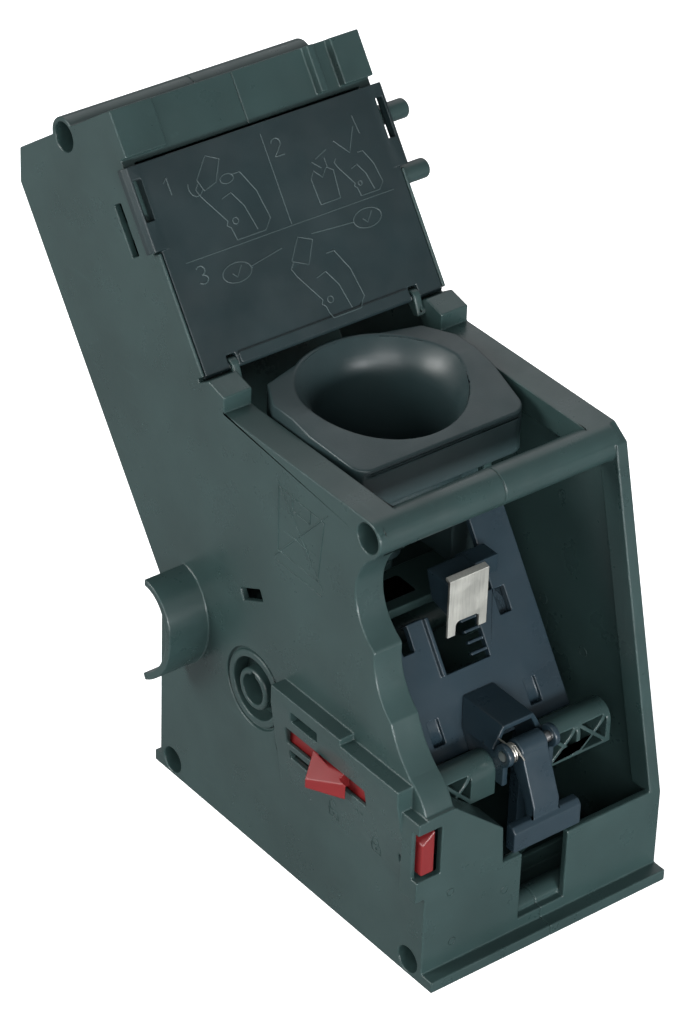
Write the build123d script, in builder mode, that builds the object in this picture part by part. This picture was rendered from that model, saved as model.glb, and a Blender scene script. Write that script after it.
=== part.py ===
"""Removable brewing unit of an automatic coffee machine, an assembly of separate pieces.

The origin is on the base plane, on the mid-plane, straight under the drive axis.
+Z is up, the front is towards -Y, and the drive socket is on the -X side.
"""

import os
from math import cos, radians, sin, tan

from build123d import *

os.makedirs("parts", exist_ok=True)

# ---------------------------------------------------------------- driving sizes, mm
body_width = 85.0
wall = 2.2  # moulded wall of the housing
lean_deg = 35.4  # cover, back wall and piston axis, from the vertical
drive_z = 53.9  # drive axis over the base plane
front_y = -78.0  # outer face of the front wall
back_y = 44.4  # outer face of the upright back wall
running_gap = 0.05  # radial play of a shaft or ring that turns or slides
free_gap = 0.3  # room between pieces of different bodies
seat_z = 136.6  # top of the side rails
rail_width = 9.5
rail_depth = 8.0
cover_foot_y = 25.7  # lower outer edge of the cover
cover_foot_z = 142.3
cover_length = 61.0
cover_thickness = 2.4
back_depth = 59.5  # slanted back wall behind the cover's outer face
top_s = 77.0  # top edge of the sides, measured up the cover's plane
bevel_depth = 53.2  # where the top edge turns down to the back
tube_radius = 5.5
tube_bore = 4.4
front_tube_y = -47.4
front_tube_z = seat_z - tube_radius
foot_tube_radius = 5.0
foot_tube_bore = 4.1
front_foot_y = -71.9
back_foot_y = 38.4
flange_height = 3.6
front_flange = 4.6  # how far the foot flange stands out in front
back_flange = 2.7
chamber_y = -1.0  # chamber axis when it stands upright
mouth_r = 86.0  # mouth of the chamber, from the drive axis
bore_radius = 20.0  # where the pistons run
chamber_wall = 1.6
chamber_depth = 37.0
chamber_lift = 40.0
shaft_radius = 5.0

half_width = body_width / 2
inner_x = half_width - wall
lean = radians(lean_deg)
lean_sin = sin(lean)
lean_cos = cos(lean)


def lean_point(s, d):
    """Point s up the cover's outer face from its foot and d behind that face, as (y, z)."""
    return (
        cover_foot_y + s * lean_sin + d * lean_cos,
        cover_foot_z + s * lean_cos - d * lean_sin,
    )


def side_plane(x):
    """Upright plane across the width, with local x to the back and local y up."""
    return Plane(origin=(x, 0, 0), x_dir=(0, 1, 0), z_dir=(1, 0, 0))


def save(part, label):
    """Give a finished piece its name and write it."""
    part.label = label
    export_step(part, f"parts/{label}.step")


cover_plane = Plane(
    origin=(0, cover_foot_y, cover_foot_z), x_dir=(1, 0, 0), z_dir=(0, -lean_cos, lean_sin)
)
press_plane = Plane(
    origin=(0, chamber_y * lean_cos, drive_z - chamber_y * lean_sin),
    x_dir=(1, 0, 0),
    z_dir=(0, lean_sin, lean_cos),
)

# ---------------------------------------------------------------- side outlines
cover_bed = cover_thickness + 0.2  # the sides' edge under the cover
rim_front_z = 28.9  # where the right side's front edge starts to lean back
rim_top_y = front_tube_y - tube_radius
rim_top_z = seat_z - 3.8
seat_back_y = 16.2
hinge_block_z = 141.5
hinge_block_y = 23.4
hinge_block_top = 143.2
back_top_y = lean_point(top_s, bevel_depth)[0]
back_top_s = (back_top_y - cover_foot_y - back_depth * lean_cos) / lean_sin
knee_z = cover_foot_z + ((back_y - cover_foot_y) * lean_cos - back_depth) / lean_sin
notch_z = 30.0  # top of the front wall beside its middle channel
cover_edge_low = lean_point(-0.4, cover_bed)
cover_edge_high = lean_point(cover_length + 0.6, cover_bed)
head_front = lean_point(top_s, cover_bed)
head_back = lean_point(top_s, bevel_depth)
slant_top = lean_point(back_top_s, back_depth)

back_run = [
    (front_tube_y, seat_z),
    (seat_back_y, seat_z),
    (seat_back_y, hinge_block_z),
    (hinge_block_y, hinge_block_top),
    cover_edge_low,
    cover_edge_high,
    head_front,
    head_back,
    slant_top,
    (back_y, knee_z),
    (back_y, 0),
    (front_y, 0),
]

with BuildSketch() as right_outline:
    with BuildLine():
        Polyline(
            (front_y, 0), (front_y, rim_front_z), (rim_top_y, rim_top_z), *back_run, close=False
        )
    make_face()

# Left front edge: three hollows for the fingers between rounded cusps.
finger_cusps = [(-50.8, 126.4), (-52.4, 97.0), (-60.3, 78.6), (-69.4, 65.6), (-76.4, 57.6)]
finger_hollows = [(-43.3, 110.6), (-54.0, 86.4), (-63.9, 71.6), (-72.6, 63.2)]
cusp_round = 1.6

with BuildSketch() as left_outline:
    with BuildLine():
        Polyline((front_y, 0), (front_y, 50.0), finger_cusps[-1])
        for upper, hollow, lower in zip(finger_cusps, finger_hollows, finger_cusps[1:]):
            ThreePointArc(lower, hollow, upper)
        Polyline(finger_cusps[0], (rim_top_y, front_tube_z), (rim_top_y + 1.0, rim_top_z + 1.6),
                 *back_run, close=False)
    make_face()
    cusp_corners = [
        corner
        for corner in left_outline.vertices()
        if any(abs(corner.X - y) + abs(corner.Y - z) < 0.1 for y, z in finger_cusps[1:4])
    ]
    fillet(cusp_corners, cusp_round)

# Everything that the walls leave open: the front window, the seat and the cover's field.
with BuildSketch() as open_field:
    with BuildLine():
        Polyline(
            (front_y - 20, notch_z), (-30, notch_z), (-30, 120.0), (14.0, 125.0), lean_point(-2.0, 9.0),
            lean_point(cover_length + 0.6, 9.0), lean_point(cover_length + 0.6, -12.0),
            (cover_foot_y, 240.0), (front_y - 20, 240.0), close=True,
        )
    make_face()

with BuildSketch() as shell_walls:
    add(right_outline.sketch)
    offset(amount=-wall, kind=Kind.INTERSECTION, mode=Mode.SUBTRACT)
    add(open_field.sketch, mode=Mode.SUBTRACT)
    with Locations(((front_y + back_y) / 2, wall / 2)):
        Rectangle(back_y - front_y - 2 * wall, wall, mode=Mode.SUBTRACT)

with BuildSketch() as cover_ledge:
    add(right_outline.sketch)
    offset(amount=-wall, kind=Kind.INTERSECTION, mode=Mode.SUBTRACT)
    with BuildLine():
        Polyline(
            lean_point(2.0, -4.0), lean_point(cover_length + 0.6, -4.0),
            lean_point(cover_length + 0.6, 6.0), lean_point(2.0, 6.0), close=True,
        )
    make_face(mode=Mode.INTERSECT)

with BuildSketch() as rail_section:
    with BuildLine():
        Polyline(
            (front_tube_y, seat_z - rail_depth), (front_tube_y, seat_z), (seat_back_y, seat_z),
            (seat_back_y, hinge_block_z), (hinge_block_y, hinge_block_top), cover_edge_low,
            lean_point(-7.0, cover_bed + 1.0), (seat_back_y, seat_z - rail_depth), close=True,
        )
    make_face()

# Rim that stands beside the lower part of the cover, flush with it.
side_rim = 1.0
side_rim_low = 0.8
side_rim_high = 36.3
with BuildSketch() as rim_section:
    with BuildLine():
        Polyline(
            lean_point(side_rim_low, 0), lean_point(side_rim_high, 0),
            lean_point(side_rim_high, cover_bed + 0.5), lean_point(side_rim_low, cover_bed + 0.5), close=True,
        )
    make_face()

# Hinge ear of the cover, with a web down to the rail.
hinge_s = 1.2
hinge_d = cover_thickness / 2
hinge_pin = 1.1
ear_radius = 2.2
ear_inner = half_width - rail_width - 2.6
ear_width = 2.4
ear_foot = [(25.4, 137.6), (23.2, 138.4)]
ear_web_y = 24.7
ear_web_z = 138.7
ear_web = 2.0
hinge_y, hinge_z = lean_point(hinge_s, hinge_d)
with BuildSketch() as ear_section:
    with BuildLine():
        Polyline((hinge_y - 1.9, hinge_z + 1.1), (hinge_y + 1.9, hinge_z - 1.1), *ear_foot, close=True)
    make_face()
    with Locations((hinge_y, hinge_z)):
        Circle(ear_radius)

head_pad_s = cover_length + 9.2
head_pad_length = 13.6
head_pad_proud = 0.4
left_pad = 14.0
right_pad = 10.0
head_strip = 2.4
head_strip_x = 25.6
head_tube_radius = 5.8
tube_places = [
    (front_tube_y, front_tube_z, tube_radius, tube_bore),
    (*lean_point(top_s - 2.0, 27.6), head_tube_radius, tube_bore),
    (front_foot_y, foot_tube_radius, foot_tube_radius, foot_tube_bore),
    (back_foot_y, foot_tube_radius, foot_tube_radius, foot_tube_bore),
]
ledge_width = 4.0
screw_web = 4.0  # wall inside each tube that the screw's head sits on
screw_hole = 1.75
screw_shank = 1.45
screw_head = 3.2
screw_head_height = 2.4
screw_length = 16.0
pilot_hole = screw_shank + running_gap

# ---------------------------------------------------------------- sizes of the left side
drive_groove = 12.7
drive_opening = 9.6
hub_radius = 6.4
hub_bore = 4.6
bearing_wall = 2.4
bearing_end = 34.5  # inner end of the left bearing tube, from the mid-plane
slit_low = lean_point(37.4, 12.2)
slit_high = lean_point(52.6, 12.2)
slit_width = 3.8
guard_top = 66.0  # slider guard on the left side
guard_foot = 29.5
guard_proud = 5.0
guard_back_y = -14.0
guard_step_y = -45.0
guard_front_y = -70.6
cavity_back_y = -12.6
cavity_front_y = -68.0
cavity_low = 36.8
cavity_inner = half_width - 4.4
cavity_high = 60.0
pocket_low = 37.0
pocket_high = 53.0
pocket_width = 5.3
pocket_lip = 2.7
channel_half = 8.2
sill_z = 57.1  # left part of the front wall, and how its top slopes down to the notch
sill_x = 9.5 - half_width
sill_end_x = -15.7
sill_end_z = 42.5
sill_depth = 11.0
channel_foot = 7.1
thumb_reach = 13.5
thumb_wall = 2.2
thumb_line = [(34.0, 76.2), (27.2, 73.6), (22.6, 62.6), (26.0, 50.8), (34.0, 43.6)]
side_window_back = (6.5, 82.6)
side_window_front = (-2.4, 87.0)
side_window_height = 3.6
rib_low = 47.2  # groove behind the guard for the slider's rib
rib_high = 56.0
rib_front_y = -64.6
rib_outer = half_width + 1.8
slot_low = 48.7
slot_high = 54.5
slot_back_y = -19.7
slot_front_y = -55.1
pawl_low = 51.9
pawl_high = 55.9
pawl_inner = half_width - 2.5


def guard_section(top):
    """Section of the slider guard across the width, up to a given top."""
    return [
        (-half_width + 0.5, guard_foot),
        (-half_width, guard_foot),
        (-half_width - guard_proud, guard_top - 6.0),
        (-half_width - guard_proud, top),
        (-half_width + 0.5, top),
    ]


# ---------------------------------------------------------------- left housing half
with BuildPart() as left_housing:
    with BuildSketch(side_plane(-half_width)):
        add(left_outline.sketch)
    extrude(amount=wall)
    with BuildSketch(side_plane(-half_width)):
        add(shell_walls.sketch)
    extrude(amount=half_width)
    # left part of the front wall, higher than the right
    with BuildSketch(Plane.XZ.offset(-front_y)):
        with BuildLine():
            Polyline((-half_width, 0), (-half_width, sill_z), (sill_x, sill_z), (sill_end_x, sill_end_z),
                     (sill_end_x + 0.7, notch_z), (-channel_half, notch_z), (-channel_half, 0), close=True)
        make_face()
    extrude(amount=-wall)
    # finger edge, a wall that turns in from the side
    with BuildSketch(side_plane(-half_width)):
        add(left_outline.sketch)
        with Locations((wall, 0)):
            add(left_outline.sketch, mode=Mode.SUBTRACT)
        with Locations((-60, 92.0)):
            Rectangle(60, 70, mode=Mode.INTERSECT)
    extrude(amount=rail_width)
    with BuildSketch(side_plane(-half_width)):
        add(cover_ledge.sketch)
    extrude(amount=ledge_width)
    # side rail and hinge block, and the rim beside the cover
    with BuildSketch(side_plane(-half_width)):
        add(rail_section.sketch)
    extrude(amount=rail_width)
    with BuildSketch(side_plane(-half_width)):
        add(rim_section.sketch)
    extrude(amount=side_rim)
    # foot flanges
    with BuildSketch(Plane.XY):
        with Locations((-half_width / 2, front_y - front_flange / 2 + wall / 2)):
            Rectangle(half_width, front_flange + wall)
        with Locations((-half_width / 2, back_y + back_flange / 2 - wall / 2)):
            Rectangle(half_width, back_flange + wall)
    extrude(amount=flange_height)
    # tubes across the housing
    for y, z, outer, bore in tube_places:
        with BuildSketch(side_plane(-half_width)):
            with Locations((y, z)):
                Circle(outer)
        extrude(amount=half_width)
    # bearing of the drive hub
    with BuildSketch(side_plane(-half_width)):
        with Locations((0, drive_z)):
            Circle(drive_opening + bearing_wall)
    extrude(amount=half_width - bearing_end)
    # slider guard, a wedge that stands proud of the side
    with BuildSketch(Plane.XZ.offset(-guard_back_y)):
        with BuildLine():
            Polyline(*guard_section(guard_top), close=True)
        make_face()
    extrude(amount=guard_back_y - guard_step_y)
    with BuildSketch(Plane.XZ.offset(-guard_step_y)):
        with BuildLine():
            Polyline(*guard_section(guard_top - 2.0), close=True)
        make_face()
    extrude(amount=guard_step_y - guard_front_y)
    # frame of the front pocket
    with Locations((-half_width - 1.0, (front_y + guard_front_y) / 2, 43.4)):
        Box(4.4, guard_front_y - front_y, 26.8)
    # sloping sill behind the front wall
    with BuildSketch(Plane.XZ.offset(-front_y - sill_depth)):
        with BuildLine():
            Polyline((-half_width, sill_z), (sill_x, sill_z), (sill_end_x, sill_end_z),
                     (sill_end_x, sill_end_z - 2.6), (sill_x - 0.8, sill_z - wall),
                     (-half_width, sill_z - wall), close=True)
        make_face()
    extrude(amount=sill_depth)
    # thumb rest
    with BuildSketch(side_plane(-half_width)):
        with BuildLine():
            Spline(*thumb_line)
        trace(line_width=thumb_wall)
    extrude(amount=-thumb_reach)
    # hinge ear of the cover
    with BuildSketch(side_plane(-ear_inner - ear_width)):
        add(ear_section.sketch)
    extrude(amount=ear_width)
    with Locations((-ear_inner - ear_width, ear_web_y, ear_web_z)):
        Box(ear_web, ear_web, ear_web)
    # raised pads on the head
    with BuildSketch(cover_plane.offset(-cover_bed - wall)):
        with Locations((-half_width + left_pad / 2, head_pad_s)):
            Rectangle(left_pad, head_pad_length)
    extrude(amount=cover_bed + wall + head_pad_proud)

    # ---- openings
    for y, z, outer, bore in tube_places:
        with BuildSketch(side_plane(-half_width)):
            with Locations((y, z)):
                Circle(bore)
        extrude(amount=half_width - screw_web, mode=Mode.SUBTRACT)
        with BuildSketch(side_plane(-screw_web - 1)):
            with Locations((y, z)):
                Circle(screw_hole)
        extrude(amount=screw_web + 1, mode=Mode.SUBTRACT)
    with BuildSketch(side_plane(-half_width - 10)):
        with Locations((0, drive_z)):
            Circle(drive_opening)
    extrude(amount=half_width - bearing_end + 10, mode=Mode.SUBTRACT)
    with BuildSketch(side_plane(-half_width - 0.01)):
        with Locations((0, drive_z)):
            Circle(drive_groove)
            Circle(drive_groove - 0.9, mode=Mode.SUBTRACT)
    extrude(amount=1.0, mode=Mode.SUBTRACT)
    # slot beside the cover
    with BuildSketch(side_plane(-half_width)):
        with BuildLine():
            Line(slit_low, slit_high)
        trace(line_width=slit_width)
    extrude(amount=wall, mode=Mode.SUBTRACT)
    # small tilted window
    with BuildSketch(side_plane(-half_width)):
        with BuildLine():
            Line(side_window_back, side_window_front)
        trace(line_width=side_window_height)
    extrude(amount=wall, mode=Mode.SUBTRACT)
    # hollow behind the guard, where the slider runs
    with BuildSketch(Plane.XZ.offset(-cavity_back_y)):
        with BuildLine():
            Polyline(
                (-cavity_inner, cavity_low), (-half_width, cavity_low),
                (-half_width - 0.4, cavity_low + 5.2), (-half_width - 0.4, cavity_high),
                (-cavity_inner, cavity_high), close=True,
            )
        make_face()
    extrude(amount=cavity_back_y - cavity_front_y, mode=Mode.SUBTRACT)
    # groove for the slider's rib, slot for its stem, and windows in the guard
    with Locations((-rib_outer + 1.0, (cavity_back_y + rib_front_y) / 2, (rib_low + rib_high) / 2)):
        Box(2.0, cavity_back_y - rib_front_y, rib_high - rib_low, mode=Mode.SUBTRACT)
    with Locations((-half_width - 3.0, (slot_back_y + slot_front_y) / 2, (slot_low + slot_high) / 2)):
        Box(8.0, slot_back_y - slot_front_y, slot_high - slot_low, mode=Mode.SUBTRACT)
    with Locations((-half_width - 3.0, -29.0, 60.2)):
        Box(4.6, 11.8, 3.4, mode=Mode.SUBTRACT)
    with Locations((-half_width - 1.6, -25.4, 44.8)):
        Box(3.0, 9.8, 3.0, mode=Mode.SUBTRACT)
    # way for the slider's pawl into the drive bearing
    with Locations((-pawl_inner - 2.0, -drive_opening - 1.2, (pawl_low + pawl_high) / 2)):
        Box(4.0, 4.6, pawl_high - pawl_low, mode=Mode.SUBTRACT)
    # pocket at the front corner, open to the front and to the side
    with Locations((-half_width + 1.6, front_y + 4.0, (pocket_low + pocket_high) / 2)):
        Box(pocket_width + 1.4, 12.0, pocket_high - pocket_low, mode=Mode.SUBTRACT)
    with Locations((-half_width - 2.0, front_y + pocket_lip / 2 - 1.0, (pocket_low + pocket_high) / 2)):
        Box(6.0, pocket_lip + 2.0, pocket_high - pocket_low, mode=Mode.SUBTRACT)
    # middle channel of the front wall
    with BuildSketch(Plane.XZ.offset(-front_y + 1)):
        with BuildLine():
            Polyline((-channel_half, notch_z + 1), (-channel_half, channel_foot), (0, channel_foot),
                     (0, notch_z + 1), close=True)
        make_face()
    extrude(amount=-(wall + 1.2), mode=Mode.SUBTRACT)
    # hole for the cover's hinge pin
    with BuildSketch(side_plane(-ear_inner - ear_width)):
        with Locations((hinge_y, hinge_z)):
            Circle(hinge_pin + running_gap)
    extrude(amount=ear_width, mode=Mode.SUBTRACT)

# ---------------------------------------------------------------- right housing half
rim_width = 8.0
rim_thickness = 4.0
nozzle_radius = 2.95
nozzle_seat_radius = 2.5
nozzle_seats = [lean_point(52.1, 6.6), lean_point(34.2, 6.6)]
right_bearing = 36.0

with BuildPart() as right_housing:
    with BuildSketch(side_plane(inner_x)):
        add(right_outline.sketch)
    extrude(amount=wall)
    with BuildSketch(side_plane(0)):
        add(shell_walls.sketch)
    extrude(amount=half_width)
    # thick front rim
    with BuildSketch(side_plane(half_width - rim_thickness)):
        add(right_outline.sketch)
        with Locations((rim_width, 0)):
            add(right_outline.sketch, mode=Mode.SUBTRACT)
        with Locations((-60, 83.0)):
            Rectangle(80, 108, mode=Mode.INTERSECT)
    extrude(amount=rim_thickness)
    with BuildSketch(side_plane(half_width - ledge_width)):
        add(cover_ledge.sketch)
    extrude(amount=ledge_width)
    # side rail and hinge block, and the rim beside the cover
    with BuildSketch(side_plane(half_width - rail_width)):
        add(rail_section.sketch)
    extrude(amount=rail_width)
    with BuildSketch(side_plane(half_width - side_rim)):
        add(rim_section.sketch)
    extrude(amount=side_rim)
    # foot flanges
    with BuildSketch(Plane.XY):
        with Locations((half_width / 2, front_y - front_flange / 2 + wall / 2)):
            Rectangle(half_width, front_flange + wall)
        with Locations((half_width / 2, back_y + back_flange / 2 - wall / 2)):
            Rectangle(half_width, back_flange + wall)
    extrude(amount=flange_height)
    # tubes
    for y, z, outer, bore in tube_places:
        with BuildSketch(side_plane(0)):
            with Locations((y, z)):
                Circle(outer)
        extrude(amount=inner_x)
    # right bearing of the drive shaft
    with BuildSketch(side_plane(right_bearing)):
        with Locations((0, drive_z)):
            Circle(shaft_radius + bearing_wall)
            Circle(shaft_radius + running_gap, mode=Mode.SUBTRACT)
    extrude(amount=inner_x - right_bearing)
    # hinge ear of the cover
    with BuildSketch(side_plane(ear_inner)):
        add(ear_section.sketch)
    extrude(amount=ear_width)
    with Locations((ear_inner + ear_width, ear_web_y, ear_web_z)):
        Box(ear_web, ear_web, ear_web)
    # raised strip and pad on the head
    with BuildSketch(cover_plane.offset(-cover_bed - wall)):
        with Locations((head_strip_x, head_pad_s)):
            Rectangle(head_strip, head_pad_length)
        with Locations((half_width - right_pad / 2, head_pad_s)):
            Rectangle(right_pad, head_pad_length)
    extrude(amount=cover_bed + wall + head_pad_proud)

    # ---- openings
    with BuildSketch(Plane.XZ.offset(-front_y + 1)):
        with BuildLine():
            Polyline((channel_half, notch_z + 1), (channel_half, channel_foot), (0, channel_foot),
                     (0, notch_z + 1), close=True)
        make_face()
    extrude(amount=-(wall + 1.2), mode=Mode.SUBTRACT)
    with BuildSketch(side_plane(half_width - ledge_width)):
        with Locations(*nozzle_seats):
            Circle(nozzle_seat_radius)
    extrude(amount=ledge_width, mode=Mode.SUBTRACT)
    for y, z, outer, bore in tube_places:
        with BuildSketch(side_plane(0)):
            with Locations((y, z)):
                Circle(pilot_hole)
        extrude(amount=screw_length, mode=Mode.SUBTRACT)
    with BuildSketch(side_plane(ear_inner)):
        with Locations((hinge_y, hinge_z)):
            Circle(hinge_pin + running_gap)
    extrude(amount=ear_width, mode=Mode.SUBTRACT)

save(left_housing.part, "left_housing")
save(right_housing.part, "right_housing")

# ---------------------------------------------------------------- base tray and screws
tray_thickness = 2.0

with BuildPart() as base_tray:
    with BuildSketch(Plane.XY):
        with Locations((0, (front_foot_y + back_foot_y) / 2)):
            RectangleRounded(
                2 * inner_x - 2 * free_gap, back_foot_y - front_foot_y - 2 * foot_tube_radius - 1.0, 3.0
            )
    extrude(amount=tray_thickness)
    with BuildSketch(Plane.XY.offset(tray_thickness)):
        with Locations((0, -20.0)):
            RectangleRounded(70.0, 76.0, 4.0)
            RectangleRounded(66.8, 72.8, 3.0, mode=Mode.SUBTRACT)
    extrude(amount=5.0)
    with Locations((0, -20.0, 0)):
        Hole(4.0)
save(base_tray.part, "base_tray")

screws = []
for y, z, outer, bore in tube_places:
    with BuildPart() as screw:
        with BuildSketch(side_plane(-screw_web)):
            with Locations((y, z)):
                Circle(screw_head)
        extrude(amount=-screw_head_height)
        with BuildSketch(side_plane(-screw_web)):
            with Locations((y, z)):
                Circle(screw_shank)
        extrude(amount=screw_length)
        with BuildSketch(side_plane(-screw_web - screw_head_height)):
            with Locations((y, z)):
                RegularPolygon(1.5, 6)
        extrude(amount=1.3, mode=Mode.SUBTRACT)
    screws.append(screw.part)
save(Compound(children=screws), "housing_screws")

# ---------------------------------------------------------------- cover
cover_half = half_width - side_rim - free_gap
band_half = ear_inner - 0.9
clip_low = 36.8  # the clips run from here to the cover's top edge
clip_wall = 1.8
clip_outer = half_width + free_gap + clip_wall
clip_depth = 2.9  # stays clear of the upper nozzle
clip_proud = 0.5
clip_window_inner = half_width - 2.4
clip_window_low = 45.2
clip_window_high = 57.0
cover_pin_end = ear_inner + 3.6
clip_plane = Plane(
    origin=(0, *lean_point(clip_low, 0)), x_dir=(1, 0, 0), z_dir=(0, lean_sin, lean_cos)
)

with BuildPart() as cover:
    with BuildSketch(cover_plane.offset(-cover_thickness)):
        with Locations((0, (cover_length + hinge_s) / 2)):
            Rectangle(2 * cover_half, cover_length - hinge_s)
    extrude(amount=cover_thickness)
    with BuildSketch(side_plane(-cover_half)):
        with Locations((hinge_y, hinge_z)):
            Circle(hinge_d)
    extrude(amount=2 * cover_half)
    # stiffening band along the foot
    with BuildSketch(cover_plane):
        with Locations((0, 2.3)):
            RectangleRounded(2 * band_half, 3.2, 0.8)
    extrude(amount=0.9)
    # clips that reach over the sides, each with a window
    for side in (-1, 1):
        clip_points = [
            (clip_window_inner, -clip_proud), (clip_outer - 1.2, -clip_proud), (clip_outer, 0.8),
            (clip_outer, clip_depth), (clip_outer - clip_wall, clip_depth),
            (clip_outer - clip_wall, cover_thickness), (clip_window_inner - 2.0, cover_thickness),
            (clip_window_inner - 2.0, 0),
        ]
        with BuildSketch(clip_plane):
            with BuildLine():
                Polyline(*[(side * x, d) for x, d in clip_points], close=True)
            make_face()
        extrude(amount=cover_length - clip_low)
        with BuildSketch(cover_plane.offset(-clip_depth - 1)):
            with Locations((side * (clip_window_inner + clip_outer - clip_wall) / 2,
                            (clip_window_low + clip_window_high) / 2)):
                Rectangle(clip_outer - clip_wall - clip_window_inner, clip_window_high - clip_window_low)
        extrude(amount=clip_depth + 3, mode=Mode.SUBTRACT)
        # room for the hinge ear, with the pin across it
        with BuildSketch(cover_plane.offset(-cover_thickness - 1)):
            with Locations((side * (ear_inner + ear_width / 2), 1.6)):
                Rectangle(ear_width + 2 * free_gap, 5.0)
        extrude(amount=cover_thickness + 3, mode=Mode.SUBTRACT)
    with BuildSketch(side_plane(-cover_pin_end)):
        with Locations((hinge_y, hinge_z)):
            Circle(hinge_pin)
    extrude(amount=2 * cover_pin_end)
save(cover.part, "cover")

# ---------------------------------------------------------------- brew chamber, upright at rest
mouth_z = drive_z + mouth_r
chamber_floor_z = mouth_z - chamber_depth
mouth_radius = 25.3
mouth_outer = 26.5
bowl_foot_z = mouth_z - 11.0  # where the funnel meets the bore
flange_tilt = 11.0
flange_front_y = -26.8
flange_front_z = 134.8
flange_lip = 1.5
flange_front_half = 28.8
groove_height = 0.8
groove_depth = 0.6
skirt_depth = 13.5  # at the front
skirt_side_depth = 9.0
skirt_back = (24.0, 132.0)  # where the skirt's foot ends behind, as (y, z)
floor_thickness = 2.4
rod_radius = 5.8
arm_inner = 29.4
leg_inner = bore_radius + 0.4
leg_outer = arm_inner - 0.5
leg_depth = 7.0
leg_top_z = 130.0
tongue_top_z = 122.0
leg_foot_z = drive_z + 22.0
tongue_half = 2.9
arm_width = 3.0
arm_slot = tongue_half + free_gap
tongue_end = arm_inner + arm_width - 0.4

with BuildSketch() as flange_outline:
    with BuildLine():
        Polyline(
            (-flange_front_half, flange_front_y), (flange_front_half, flange_front_y), (32.0, -8.0),
            (32.0, 8.0), (27.0, 17.5),
            (15.0, 21.0), (-15.0, 21.0), (-27.0, 17.5), (-32.0, 8.0), (-32.0, -8.0), close=True,
        )
    make_face()
    fillet(flange_outline.vertices().group_by(Axis.Y)[0], 5.0)

with BuildPart() as brew_chamber:
    # skirted flange
    with BuildSketch(Plane.XY.offset(flange_front_z - skirt_depth)):
        add(flange_outline.sketch)
    extrude(amount=mouth_z - flange_front_z + skirt_depth)
    with BuildSketch(Plane.XY.offset(flange_front_z - skirt_depth)):
        add(flange_outline.sketch)
        offset(amount=-1.8, mode=Mode.REPLACE)
    extrude(amount=skirt_depth - 2.4, mode=Mode.SUBTRACT)
    # the skirt's foot rises to the back
    with BuildSketch(side_plane(-half_width)):
        with BuildLine():
            Polyline(
                (flange_front_y + 6, flange_front_z - skirt_depth - 1),
                (flange_front_y + 14, flange_front_z - skirt_side_depth - 1), skirt_back,
                (skirt_back[0], flange_front_z - skirt_depth - 1), close=True,
            )
        make_face()
    extrude(amount=body_width, mode=Mode.SUBTRACT)
    # barrel and funnel
    with BuildSketch(side_plane(0)):
        with BuildLine():
            Polyline(
                (chamber_y, chamber_floor_z), (chamber_y + bore_radius + chamber_wall, chamber_floor_z),
                (chamber_y + bore_radius + chamber_wall, bowl_foot_z),
                (chamber_y + mouth_outer, mouth_z - 3.0), (chamber_y + mouth_outer, mouth_z),
                (chamber_y, mouth_z), close=True,
            )
        make_face()
    revolve(axis=Axis((0, chamber_y, 0), (0, 0, 1)))
    # legs that slide between the cradle's arms
    for side in (-1, 1):
        with Locations((side * (leg_inner + leg_outer) / 2, chamber_y, (leg_foot_z + leg_top_z) / 2)):
            Box(leg_outer - leg_inner, 2 * leg_depth, leg_top_z - leg_foot_z)
        with Locations((side * (leg_outer + tongue_end) / 2, chamber_y, (leg_foot_z + tongue_top_z) / 2)):
            Box(tongue_end - leg_outer, 2 * tongue_half, tongue_top_z - leg_foot_z)
    # bore, funnel and rod hole
    with BuildSketch(side_plane(0)):
        with BuildLine():
            Line((chamber_y, chamber_floor_z + floor_thickness),
                 (chamber_y + bore_radius, chamber_floor_z + floor_thickness))
            Line((chamber_y + bore_radius, chamber_floor_z + floor_thickness),
                 (chamber_y + bore_radius, bowl_foot_z))
            Spline((chamber_y + bore_radius, bowl_foot_z), (chamber_y + mouth_radius, mouth_z + 0.01),
                   tangents=((0, 1), (0.9, 1)))
            Line((chamber_y + mouth_radius, mouth_z + 0.01), (chamber_y, mouth_z + 0.01))
            Line((chamber_y, mouth_z + 0.01), (chamber_y, chamber_floor_z + floor_thickness))
        make_face()
    revolve(axis=Axis((0, chamber_y, 0), (0, 0, 1)), mode=Mode.SUBTRACT)
    with BuildSketch(Plane.XY.offset(chamber_floor_z - 1)):
        with Locations((0, chamber_y)):
            Circle(rod_radius + running_gap)
    extrude(amount=floor_thickness + 2, mode=Mode.SUBTRACT)
    # top that slopes down to the front, with a groove along its lip
    rise = tan(radians(flange_tilt))
    slope_end_y = flange_front_y + (mouth_z - flange_front_z) / rise
    with BuildSketch(side_plane(-half_width)):
        with BuildLine():
            Polyline(
                (flange_front_y - 1, flange_front_z - rise), (slope_end_y, mouth_z),
                (flange_front_y - 1, mouth_z + 1), close=True,
            )
        make_face()
    extrude(amount=body_width, mode=Mode.SUBTRACT)
    with Locations((0, flange_front_y, flange_front_z - flange_lip - groove_height / 2)):
        Box(2 * flange_front_half, 2 * groove_depth, groove_height, mode=Mode.SUBTRACT)
save(brew_chamber.part, "brew_chamber")

# ---------------------------------------------------------------- lower piston
piston_z = chamber_floor_z + floor_thickness
piston_height = 4.0
piston_radius = bore_radius - free_gap
groove_radius = piston_radius - 1.8
sieve_thickness = 0.8
sieve_radius = bore_radius - 2.0
rod_foot_z = chamber_floor_z - 18.0

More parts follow.
